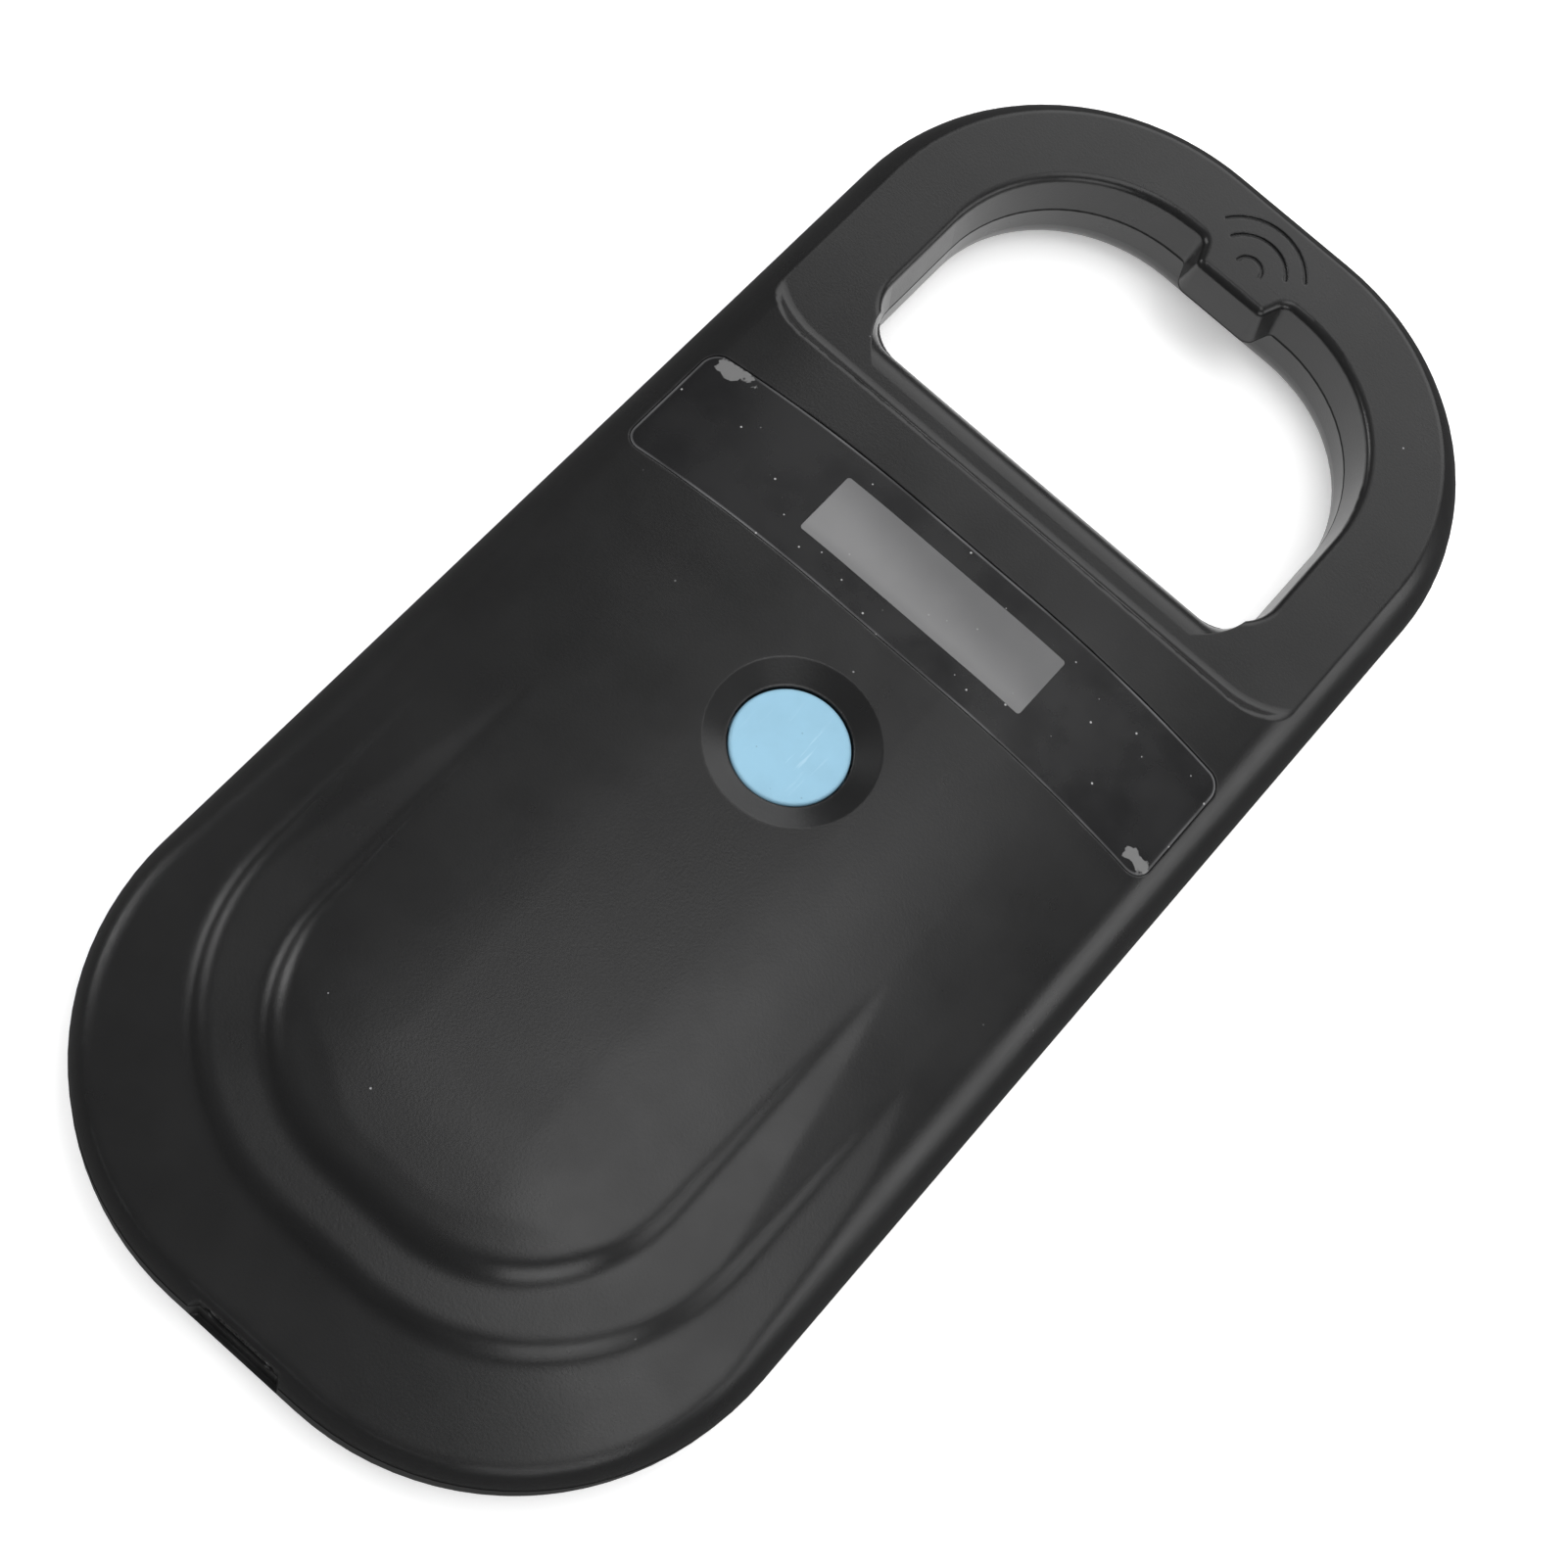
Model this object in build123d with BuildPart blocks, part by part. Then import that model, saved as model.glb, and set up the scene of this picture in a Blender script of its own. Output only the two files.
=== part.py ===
from build123d import *
import os
from math import cos, radians, sin, sqrt

os.makedirs("parts", exist_ok=True)

# Driving dimensions, in millimetres. +Z is up through the display, +Y runs to the handle,
# and the origin is the middle of the flat back.
WIDTH, LENGTH = 76.0, 168.0      # outline of the case
CORNER_R = 30.3                  # plan radius of all four corners
APEX_Z = 17.6                    # top of the crowned body
RING_Z = 13.4                    # flat top of the handle
SPLIT_Z = 8.2                    # joint between the two shells
CROWN_R = 95.0                   # section radius of the crown
SHOULDER_R = 6.8                 # round between crown and side wall
BASE_R = 5.5                     # round under the case
WALL = 2.4                       # upper shell
FLOOR = 2.0                      # lower shell
SKIRT = 2.2                      # side walls at the joint
LIP = 1.2                        # height of the locating lip

GRIP_W, GRIP_Y0, GRIP_Y1 = 52.7, 37.2, 72.5   # finger opening at the handle's top face
GRIP_TOP_R, GRIP_FOOT_R = 18.9, 5.5
GRIP_DRAFT = 9.0
GRIP_ROLL_R, GRIP_EDGE_R = 4.0, 0.9
GRIP_FOOT_ROUND = 5.0            # round under the lower shell
TAB_TIP_Y, TAB_TIP_W, TAB_ROOT_W = 69.3, 8.8, 11.2

STEP_FOOT_Y, STEP_LEAN = 30.7, 26.0           # sloped front of the handle plateau

LABEL_Y, LABEL_W, LABEL_H, LABEL_R = 15.0, 68.6, 14.7, 2.0
WINDOW_Y, WINDOW_W, WINDOW_H = 15.4, 28.9, 8.0
LABEL_DEPTH = 0.4

# two rolled steps round the antenna end: half width, end, plan radius, height of the tread,
# and the tilt in degrees that lets the step fade up the arms
INNER_STEP = (21.5, -67.6, 17.4, 15.1, 1.6)
OUTER_STEP = (29.3, -73.7, 25.0, 13.35, 1.9)
STEP_H, STEP_RUN = 1.45, 1.13    # riser
STEP_CREST_R, STEP_COVE_R = 2.8, 1.2
STEP_WALL = 1.3                  # shell thickness under the treads

BUTTON_Y, BUTTON_R = -6.9, 6.15
DISH_R, DISH_DEPTH = 9.0, 1.2

BOARD_W, BOARD_L, BOARD_T, BOARD_TOP = 57.0, 54.0, 1.2, 9.5
BOARD_HOLES = [(25, 23), (-25, 23), (25, -23), (-25, -23)]
CASE_SCREWS = [(32.2, 50), (-32.2, 50), (32.9, -8), (-32.9, -8), (24, -70), (-24, -70)]
CHARGE_HOLES = [(9, -78), (-9, -78)]

COIL_Y, COIL_W, COIL_L, COIL_BAND = -51.0, 56.0, 42.0, 4.0
FORMER_TOP = 9.2
USB_Z, USB_W, USB_H = 8.65, 7.5, 2.6
LOW = (Align.CENTER, Align.CENTER, Align.MIN)


# ---------------------------------------------------------------- shared shapes

def dome_profile(reach, inset):
    """Half section of the body: side wall, round shoulder and shallow crown."""
    crown = CROWN_R - inset
    eave = APEX_Z - CROWN_R + sqrt(crown**2 - reach**2)
    with BuildSketch(Plane.XZ) as half:
        with BuildLine():
            Polyline((0, APEX_Z - inset), (0, 0), (reach, 0), (reach, eave))
            RadiusArc((reach, eave), (0, APEX_Z - inset), -crown)
        make_face()
        eaves = half.vertices().group_by(Axis.X)[-1].sort_by(Axis.Y)[-1]
        fillet(eaves, SHOULDER_R - inset)
    return half.sketch


def dome(inset):
    """Crowned block in the outline of the case, drawn `inset` inside the outer skin."""
    half = dome_profile(CORNER_R - inset, inset)
    flat_x, flat_y = WIDTH / 2 - CORNER_R, LENGTH / 2 - CORNER_R
    with BuildPart() as block:
        add(half.moved(Location((flat_x, flat_y, 0))))
        revolve(axis=Axis((flat_x, flat_y, 0), (0, 0, 1)), revolution_arc=90)
        add(half.moved(Location((flat_x, flat_y, 0))))
        extrude(amount=flat_y, dir=(0, -1, 0))
        add(half.moved(Location((flat_x, flat_y, 0), (0, 0, 90))))
        extrude(amount=flat_x, dir=(-1, 0, 0))
        with Locations((flat_x / 2, flat_y / 2)):
            Box(flat_x, flat_y, APEX_Z - inset, align=LOW)
        mirror(about=Plane.YZ)
        mirror(about=Plane.XZ)
    return block.part


def grip_outline(grow):
    """Finger opening with the tab that points into it."""
    height = GRIP_Y1 - GRIP_Y0
    with BuildSketch() as opening:
        with Locations((0, GRIP_Y0 + height / 2)):
            Rectangle(GRIP_W, height)
        fillet(opening.vertices().group_by(Axis.Y)[-1], GRIP_TOP_R)
        fillet(opening.vertices().group_by(Axis.Y)[0], GRIP_FOOT_R)
        with BuildLine():
            Polyline((-TAB_ROOT_W / 2, GRIP_Y1), (-TAB_TIP_W / 2, TAB_TIP_Y),
                     (TAB_TIP_W / 2, TAB_TIP_Y), (TAB_ROOT_W / 2, GRIP_Y1), close=True)
        make_face(mode=Mode.SUBTRACT)
        tab = opening.vertices().filter_by_position(Axis.X, -6, 6).group_by(Axis.Y)
        fillet(tab[0], 0.7)
        tab = opening.vertices().filter_by_position(Axis.X, -6, 6).group_by(Axis.Y)
        fillet(tab[-1], 1.6)
        if grow:
            offset(amount=grow)
    return opening.sketch


def grip_plan(grow):
    """Finger opening without the tab."""
    with BuildSketch() as plan:
        with Locations((0, (GRIP_Y0 + GRIP_Y1) / 2)):
            Rectangle(GRIP_W + 2 * grow, GRIP_Y1 - GRIP_Y0 + 2 * grow)
        fillet(plan.vertices().group_by(Axis.Y)[-1], GRIP_TOP_R + grow)
        fillet(plan.vertices().group_by(Axis.Y)[0], GRIP_FOOT_R + grow)
    return plan.sketch


def grip_column(grow, height):
    """Plain column that keeps the cavities clear of the finger opening."""
    with BuildPart() as column:
        add(grip_plan(grow))
        extrude(amount=height)
    return column.part


def plateau_cut(drop):
    """Block that clears the flat top of the handle; its front wall leans and ends in a cove."""
    with BuildPart() as cutter:
        with BuildSketch(Plane.XY.offset(RING_Z - drop)):
            with Locations((0, STEP_FOOT_Y - drop)):
                RectangleRounded(78, 80, 11, align=(Align.CENTER, Align.MIN))
        extrude(amount=8, taper=-STEP_LEAN)
        fillet(cutter.faces().sort_by(Axis.Z)[0].edges(), 2.0)
    return cutter.part


def grip_roll():
    """Scoop that rolls the crossbar over into the finger opening."""
    start = GRIP_Y0 - GRIP_ROLL_R
    with BuildPart() as scoop:
        with BuildSketch(Plane.YZ.offset(-25)):
            with BuildLine():
                Polyline((GRIP_Y0, RING_Z - GRIP_ROLL_R), (GRIP_Y0 + 4, RING_Z - GRIP_ROLL_R),
                         (GRIP_Y0 + 4, RING_Z + 8), (start, RING_Z + 8), (start, RING_Z))
                RadiusArc((start, RING_Z), (GRIP_Y0, RING_Z - GRIP_ROLL_R), GRIP_ROLL_R)
            make_face()
        extrude(amount=50)
        ends = scoop.edges().filter_by(GeomType.CIRCLE)
        fillet(ends, 3.4)
    return scoop.part


def terrace_cut(half, end_y, corner, level, tilt, rise, fall, reach):
    """Cutter for one rolled step round the antenna end, tilted so that it fades up the arms."""
    crest, foot = (corner + 0.45 - STEP_RUN, STEP_H), (corner + 0.45, 0)
    with BuildSketch(Plane.XZ) as section:
        with BuildLine():
            Polyline((corner - 5.2, 5), (corner - 5, STEP_H + rise), crest, foot,
                     (corner + reach, -fall), (corner + reach, 5), close=True)
        make_face()
        fillet(section.vertices().sort_by_distance(crest)[0], STEP_CREST_R)
        fillet(section.vertices().sort_by_distance(foot)[0], STEP_COVE_R)
    straight = half - corner
    with BuildPart() as cutter:
        add(section.sketch.moved(Location((straight, corner, 0))))
        revolve(axis=Axis((straight, corner, 0), (0, 0, 1)), revolution_arc=-90)
        add(section.sketch.moved(Location((straight, corner, 0))))
        extrude(amount=60, dir=(0, 1, 0))
        add(section.sketch.moved(Location((straight, corner, 0), (0, 0, -90))))
        extrude(amount=straight, dir=(-1, 0, 0))
        mirror(about=Plane.YZ)
    leaning = Plane(origin=(0, end_y, level), x_dir=(1, 0, 0),
                    z_dir=(0, -sin(radians(tilt)), cos(radians(tilt))))
    return cutter.part.moved(leaning.location)


def label_outline(gap):
    """Rounded bar of the label."""
    with BuildSketch() as bar:
        with Locations((0, LABEL_Y)):
            RectangleRounded(LABEL_W - 2 * gap, LABEL_H - 2 * gap, LABEL_R - gap)
    return bar.sketch


def skin(outline, top, bottom):
    """Thin sheet that follows the crown between two depths, cut to an outline."""
    with BuildPart() as sheet:
        add(outline)
        extrude(amount=30)
        add(dome(top), mode=Mode.INTERSECT)
        add(dome(bottom), mode=Mode.SUBTRACT)
    return sheet.part


def stadium(width, length, rounding):
    """Round-ended plan of the coil and its former."""
    with BuildSketch() as plan:
        with Locations((0, COIL_Y)):
            RectangleRounded(width, length, rounding)
    return plan.sketch


def arc_mark(radius, half_angle, centre_y, stroke):
    """One engraved arc of the radio-wave mark."""
    with BuildSketch(Plane.XY.offset(RING_Z - 0.25)) as mark:
        with BuildLine() as line:
            CenterArc((0, centre_y), radius, 90 - half_angle, 2 * half_angle)
            offset(amount=stroke / 2)
        make_face()
    return mark.sketch


def wire(points, tangents, radius):
    """Round wire through a few points."""
    with BuildPart() as lead:
        with BuildLine():
            path = Spline(*points, tangents=tangents)
        with BuildSketch(Plane(origin=path @ 0, z_dir=path % 0)):
            Circle(radius)
        sweep()
    return lead.part


# ---------------------------------------------------------------- upper shell

inner_step = terrace_cut(*INNER_STEP, rise=0.55, fall=0.3, reach=9.4)
outer_step = terrace_cut(*OUTER_STEP, rise=0.35, fall=2.3, reach=14)

with BuildPart() as hollow:
    add(dome(WALL))
    add(inner_step.moved(Location((0, 0, -STEP_WALL))), mode=Mode.SUBTRACT)
    add(outer_step.moved(Location((0, 0, -STEP_WALL))), mode=Mode.SUBTRACT)
    add(plateau_cut(WALL), mode=Mode.SUBTRACT)
    add(grip_column(WALL, 30), mode=Mode.SUBTRACT)

with BuildPart() as label_recess:
    add(skin(label_outline(0), -0.5, LABEL_DEPTH))

with BuildPart() as usb_recess:
    with BuildSketch(Plane.XY.offset(USB_Z - 4.25)):
        with BuildLine():
            Polyline((-5.6, -LENGTH / 2 - 1), (-5.6, -LENGTH / 2), (-4.8, -LENGTH / 2 + 0.8),
                     (4.8, -LENGTH / 2 + 0.8), (5.6, -LENGTH / 2), (5.6, -LENGTH / 2 - 1), close=True)
        make_face()
    extrude(amount=8.5)
    with BuildSketch(Plane.XZ.offset(LENGTH / 2)):
        with Locations((0, USB_Z)):
            SlotOverall(USB_W + 1.0, USB_H + 0.8)
    extrude(amount=-4)

with BuildPart() as upper_shell:
    add(dome(0))
    add(inner_step, mode=Mode.SUBTRACT)
    add(outer_step, mode=Mode.SUBTRACT)
    add(plateau_cut(0), mode=Mode.SUBTRACT)
    add(grip_roll(), mode=Mode.SUBTRACT)
    # finger opening, drafted inwards down to the joint
    with BuildSketch(Plane.XY.offset(RING_Z)):
        add(grip_outline(0))
    extrude(amount=-(RING_Z - SPLIT_Z + 0.1), taper=GRIP_DRAFT, mode=Mode.SUBTRACT)
    mouth = upper_shell.edges().filter_by_position(Axis.Z, RING_Z - 0.01, RING_Z + 0.01)
    mouth = mouth.filter_by_position(Axis.X, -27, 27).filter_by_position(Axis.Y, 44, 73)
    fillet(mouth, GRIP_EDGE_R)
    add(hollow.part, mode=Mode.SUBTRACT)
    # screw posts
    with Locations(*[(x, y, SPLIT_Z) for x, y in CASE_SCREWS]):
        Cylinder(2.6, 3.9, align=LOW)
    # label recess, window opening and ledge
    add(label_recess.part, mode=Mode.SUBTRACT)
    with BuildSketch(Plane.XY.offset(APEX_Z - 1.7)):
        with Locations((0, WINDOW_Y)):
            RectangleRounded(WINDOW_W + 2.0, WINDOW_H + 2.0, 0.8)
    extrude(amount=4, mode=Mode.SUBTRACT)
    with BuildSketch(Plane.XY.offset(APEX_Z - 4)):
        with Locations((0, WINDOW_Y)):
            RectangleRounded(WINDOW_W - 0.5, WINDOW_H - 0.4, 0.5)
    extrude(amount=4, mode=Mode.SUBTRACT)
    # collar and dish round the button
    with Locations((0, BUTTON_Y, APEX_Z - 3.6)):
        Cylinder(BUTTON_R + 1.9, 2.2, align=LOW)
    with Locations((0, BUTTON_Y, APEX_Z - DISH_DEPTH)):
        Cone(BUTTON_R + 0.35, DISH_R, DISH_DEPTH, align=LOW, mode=Mode.SUBTRACT)
    with Locations((0, BUTTON_Y, SPLIT_Z)):
        Cylinder(BUTTON_R + 0.2, 12, align=LOW, mode=Mode.SUBTRACT)
    # rebate for the lip, pilot holes, charging socket
    with BuildSketch(Plane.XY.offset(SPLIT_Z)):
        RectangleRounded(WIDTH - 2.2, LENGTH - 2.2, CORNER_R - 1.1)
        RectangleRounded(WIDTH - 5.0, LENGTH - 5.0, CORNER_R - 2.5, mode=Mode.SUBTRACT)
    extrude(amount=LIP + 0.15, mode=Mode.SUBTRACT)
    with Locations(*[(x, y, SPLIT_Z) for x, y in CASE_SCREWS]):
        Cylinder(1.2, 3.3, align=LOW, mode=Mode.SUBTRACT)
    add(usb_recess.part, mode=Mode.SUBTRACT)
    # everything below the joint belongs to the other half
    Box(120, 220, SPLIT_Z, align=LOW, mode=Mode.SUBTRACT)
    # radio-wave mark on the handle
    add(arc_mark(6.4, 60, 72.8, 0.4))
    add(arc_mark(4.2, 64, 72.8, 0.4))
    add(arc_mark(1.5, 88, 72.7, 0.4))
    extrude(amount=1, mode=Mode.SUBTRACT)

# ---------------------------------------------------------------- lower shell

with BuildPart() as basin:
    with BuildSketch(Plane.XY.offset(SPLIT_Z + 3)):
        RectangleRounded(WIDTH - 2 * SKIRT, LENGTH - 2 * SKIRT, CORNER_R - SKIRT)
    extrude(amount=-(SPLIT_Z + 3 - FLOOR))
    fillet(basin.faces().sort_by(Axis.Z)[0].edges(), BASE_R - SKIRT)
    add(grip_column(SKIRT, 20), mode=Mode.SUBTRACT)
    fillet(basin.faces().sort_by(Axis.Z)[0].inner_wires()[0].edges(), 2.6)

with BuildPart() as lower_shell:
    with BuildSketch(Plane.XY.offset(SPLIT_Z)):
        RectangleRounded(WIDTH, LENGTH, CORNER_R)
    extrude(amount=-SPLIT_Z, taper=1.5)
    fillet(lower_shell.faces().sort_by(Axis.Z)[0].edges(), BASE_R)
    with BuildSketch(Plane.XY.offset(SPLIT_Z)):
        RectangleRounded(WIDTH - 2.4, LENGTH - 2.4, CORNER_R - 1.2)
        RectangleRounded(WIDTH - 4.4, LENGTH - 4.4, CORNER_R - 2.2, mode=Mode.SUBTRACT)
    extrude(amount=LIP)
    with BuildSketch(Plane.XY.offset(SPLIT_Z)):
        add(grip_plan(-0.82))
    extrude(amount=-SPLIT_Z, taper=-2, mode=Mode.SUBTRACT)
    mouth = lower_shell.faces().sort_by(Axis.Z)[0].inner_wires()[0].edges()
    fillet(mouth, GRIP_FOOT_ROUND)
    add(basin.part, mode=Mode.SUBTRACT)
    # screw columns, board posts and charging-board posts
    with Locations(*[(x, y, FLOOR - 1) for x, y in CASE_SCREWS]):
        Cylinder(3.4, SPLIT_Z - FLOOR + 1, align=LOW)
    with Locations(*[(x, y, FLOOR - 1) for x, y in BOARD_HOLES]):
        Cylinder(2.6, BOARD_TOP - BOARD_T - FLOOR + 1, align=LOW)
    with Locations(*[(x, y, FLOOR - 1) for x, y in CHARGE_HOLES]):
        Cylinder(1.9, USB_Z - USB_H / 2 - 1.0 - FLOOR + 1, align=LOW)
    with Locations(*[(x, y, 0) for x, y in CASE_SCREWS]):
        Cylinder(1.4, 12, align=LOW, mode=Mode.SUBTRACT)
        Cylinder(2.6, 3.0, align=LOW, mode=Mode.SUBTRACT)
    with Locations(*[(x, y, 4.2) for x, y in BOARD_HOLES]):
        Cylinder(1.05, 6, align=LOW, mode=Mode.SUBTRACT)
    with Locations(*[(x, y, 3.0) for x, y in CHARGE_HOLES]):
        Cylinder(0.85, 6, align=LOW, mode=Mode.SUBTRACT)
    add(usb_recess.part, mode=Mode.SUBTRACT)
    # recess for the rear label
    with BuildSketch():
        with Locations((0, -20)):
            RectangleRounded(44, 26, 2)
    extrude(amount=0.25, mode=Mode.SUBTRACT)

# ---------------------------------------------------------------- label, window, rear label

with BuildPart() as display_label:
    add(skin(label_outline(0.12), 0.08, LABEL_DEPTH - 0.01))
    with BuildSketch():
        with Locations((0, WINDOW_Y)):
            RectangleRounded(WINDOW_W, WINDOW_H, 0.4)
    extrude(amount=30, mode=Mode.SUBTRACT)

with BuildPart() as display_window:
    with BuildSketch(Plane.XY.offset(APEX_Z - 1.68)):
        with Locations((0, WINDOW_Y)):
            RectangleRounded(WINDOW_W + 1.8, WINDOW_H + 1.8, 0.7)
    extrude(amount=0.93)
    with BuildSketch(Plane.XY.offset(APEX_Z - 0.8)):
        with Locations((0, WINDOW_Y)):
            RectangleRounded(WINDOW_W - 0.08, WINDOW_H - 0.08, 0.36)
    extrude(amount=1.0)
    add(dome(0.08), mode=Mode.INTERSECT)

with BuildPart() as rating_label:
    with BuildSketch(Plane.XY.offset(0.07)):
        with Locations((0, -20)):
            RectangleRounded(43.6, 25.6, 1.8)
    extrude(amount=0.18)

# ---------------------------------------------------------------- button and switch

CAP_TOP = APEX_Z - DISH_DEPTH - 0.05
with BuildPart() as button_cap:
    with Locations((0, BUTTON_Y, APEX_Z - 3.65)):
        Cylinder(BUTTON_R, CAP_TOP - (APEX_Z - 3.65), align=LOW)
    fillet(button_cap.faces().sort_by(Axis.Z)[-1].edges(), 0.35)
    with Locations((0, BUTTON_Y, APEX_Z - 4.6)):
        Cylinder(BUTTON_R + 1.0, 0.95, align=LOW)
    with Locations((0, BUTTON_Y, APEX_Z - 5.05)):
        Cylinder(1.8, 0.6, align=LOW)

with BuildPart() as switch_body:
    with Locations((0, BUTTON_Y, BOARD_TOP)):
        Box(6.2, 6.2, 2.5, align=LOW)
    fillet(switch_body.edges().filter_by(Axis.Z), 0.4)
    with Locations((0, BUTTON_Y, BOARD_TOP + 1.2)):
        Cylinder(1.7, 2, align=LOW, mode=Mode.SUBTRACT)

with BuildPart() as switch_plunger:
    with Locations((0, BUTTON_Y, BOARD_TOP + 1.6)):
        Cylinder(1.6, APEX_Z - 5.05 - BOARD_TOP - 1.6, align=LOW)
    fillet(switch_plunger.faces().sort_by(Axis.Z)[-1].edges(), 0.2)

# ---------------------------------------------------------------- main board and its parts

with BuildPart() as main_board:
    with BuildSketch(Plane.XY.offset(BOARD_TOP - BOARD_T)):
        RectangleRounded(BOARD_W, BOARD_L, 2)
        with Locations(*BOARD_HOLES):
            Circle(1.15, mode=Mode.SUBTRACT)
    extrude(amount=BOARD_T)

with BuildPart() as board_screws:
    with Locations(*[(x, y, BOARD_TOP) for x, y in BOARD_HOLES]):
        Cylinder(1.9, 1.3, align=LOW)
        Cylinder(1.0, 5, align=(Align.CENTER, Align.CENTER, Align.MAX))
    fillet(board_screws.faces().filter_by(Plane.XY).group_by(Axis.Z)[-1].edges(), 0.4)
    with Locations(*[(x, y, BOARD_TOP + 1.3) for x, y in BOARD_HOLES]):
        Box(2.0, 0.5, 1.2, mode=Mode.SUBTRACT)
        Box(0.5, 2.0, 1.2, mode=Mode.SUBTRACT)

with BuildPart() as case_screws:
    with Locations(*[(x, y, 1.3) for x, y in CASE_SCREWS]):
        Cylinder(2.3, 1.7, align=LOW)
        Cylinder(1.15, 10, align=LOW)
    fillet(case_screws.faces().filter_by(Plane.XY).group_by(Axis.Z)[0].edges(), 0.6)
    with Locations(*[(x, y, 1.3) for x, y in CASE_SCREWS]):
        Box(2.6, 0.6, 1.6, mode=Mode.SUBTRACT)
        Box(0.6, 2.6, 1.6, mode=Mode.SUBTRACT)

with BuildPart() as display_carrier:
    with BuildSketch(Plane.XY.offset(BOARD_TOP)):
        with Locations((0, WINDOW_Y)):
            RectangleRounded(34, 15, 1)
            Rectangle(31, 12.4, mode=Mode.SUBTRACT)
    extrude(amount=5.1)
    with BuildSketch(Plane.XY.offset(BOARD_TOP + 2.8)):
        with Locations((0, WINDOW_Y)):
            Rectangle(31.2, 12.6)
            Rectangle(27, 9, mode=Mode.SUBTRACT)
    extrude(amount=1.0)
    with Locations((0, WINDOW_Y - 7.5, BOARD_TOP)):
        Box(13.4, 6, 5.1, align=LOW, mode=Mode.SUBTRACT)

with BuildPart() as display_glass:
    with Locations((0, WINDOW_Y, BOARD_TOP + 3.8)):
        Box(30, 11.5, 1.4, align=LOW)

with BuildPart() as display_connector:
    with Locations((0, 12.0, BOARD_TOP)):
        Box(14, 3.4, 1.0, align=LOW)

with BuildPart() as display_ribbon:
    with BuildSketch(Plane.YZ.offset(-6)):
        with BuildLine():
            Line((9.58, 13.8), (6.9, 13.8))
            TangentArc((6.9, 13.8), (6.9, 10.2), tangent=(-1, 0))
            Line((6.9, 10.2), (10.23, 10.2))
            offset(amount=0.06)
        make_face()
    extrude(amount=12)

with BuildPart() as controller_chip:
    with Locations((15, -2, BOARD_TOP)):
        Box(9, 9, 1.2, align=LOW)

with BuildPart() as reader_chip:
    with Locations((-14, -3, BOARD_TOP)):
        Box(10, 6, 1.6, align=LOW)

with BuildPart() as crystal_can:
    with Locations((-15, -13, BOARD_TOP)):
        Box(11, 4.5, 3.2, align=LOW)
    fillet(crystal_can.edges().filter_by(Axis.Z), 2.2)

with BuildPart() as capacitors:
    with Locations((-24, -10, BOARD_TOP), (-24, -4, BOARD_TOP), (-24, 2, BOARD_TOP)):
        Cylinder(2.0, 3.6, align=LOW)

with BuildPart() as power_inductor:
    with Locations((8, -20, BOARD_TOP)):
        Box(6, 6, 2.8, align=LOW)
    fillet(power_inductor.edges().filter_by(Axis.Z), 0.8)

with BuildPart() as buzzer:
    with Locations((17.5, -15, BOARD_TOP)):
        Cylinder(4.5, 3.6, align=LOW)
    with Locations((17.5, -15, BOARD_TOP + 3.0)):
        Cylinder(0.9, 1, align=LOW, mode=Mode.SUBTRACT)

with BuildPart() as battery_header:
    with Locations((-12, -19, BOARD_TOP)):
        Box(7, 5, 3.8, align=LOW)
    with Locations((-12, -19.7, BOARD_TOP + 0.8)):
        Box(5.4, 4, 2.4, align=LOW, mode=Mode.SUBTRACT)

with BuildPart() as battery_plug:
    with Locations((-12, -20.75, BOARD_TOP + 0.9)):
        Box(5.2, 5.7, 2.2, align=LOW)

# ---------------------------------------------------------------- battery

with BuildPart() as battery_pad:
    with Locations((0, 2, FLOOR)):
        Box(36, 44, 0.5, align=LOW)

with BuildPart() as battery_cell:
    with BuildSketch(Plane.XZ.offset(22)):
        with Locations((0, FLOOR + 0.5 + 2.4)):
            RectangleRounded(38, 4.8, 1.6)
    extrude(amount=-48)

with BuildPart() as battery_leads:
    for side in (-1.1, 1.1):
        add(wire([(-12 + side, -23.6, 11.5), (-12 + side, -28.1, 8.7), (-10 + side, -22, 4.9)],
                 [(0, -1, 0), (0, 1, 0)], 0.5))

# ---------------------------------------------------------------- antenna

with BuildPart() as antenna_coil:
    with BuildSketch(Plane.XY.offset(FORMER_TOP)):
        add(stadium(COIL_W, COIL_L, 20.9))
        add(stadium(COIL_W - 2 * COIL_BAND, COIL_L - 2 * COIL_BAND, 16.9), mode=Mode.SUBTRACT)
    extrude(amount=2.6)
    fillet(antenna_coil.edges().filter_by(Plane.XY), 0.8)

with BuildPart() as coil_former:
    with BuildSketch(Plane.XY.offset(FORMER_TOP - 1.2)):
        add(stadium(COIL_W + 1.6, COIL_L + 1.6, 21.7))
        add(stadium(COIL_W - 2 * COIL_BAND - 1.6, COIL_L - 2 * COIL_BAND - 1.6, 16.1),
            mode=Mode.SUBTRACT)
    extrude(amount=1.2)
    with Locations(*[(x, COIL_Y + y, FLOOR) for x in (-20.4, 20.4) for y in (-13.4, 13.4)]):
        Cylinder(1.8, FORMER_TOP - 1.2 - FLOOR, align=LOW)

with BuildPart() as coil_leads:
    for side in (-2.5, 2.5):
        add(wire([(side, COIL_Y + 21, 10.6), (side, COIL_Y + 23.5, 11.2), (side, -25.5, 9.5)],
                 [(0, 1, 0), (0, 0, -1)], 0.3))

# ---------------------------------------------------------------- charging socket

with BuildPart() as charge_board:
    with BuildSketch(Plane.XY.offset(USB_Z - USB_H / 2 - 1.0)):
        with Locations((0, -78)):
            RectangleRounded(22, 7.4, 0.8)
        with Locations(*CHARGE_HOLES):
            Circle(0.95, mode=Mode.SUBTRACT)
    extrude(amount=1.0)

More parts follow.
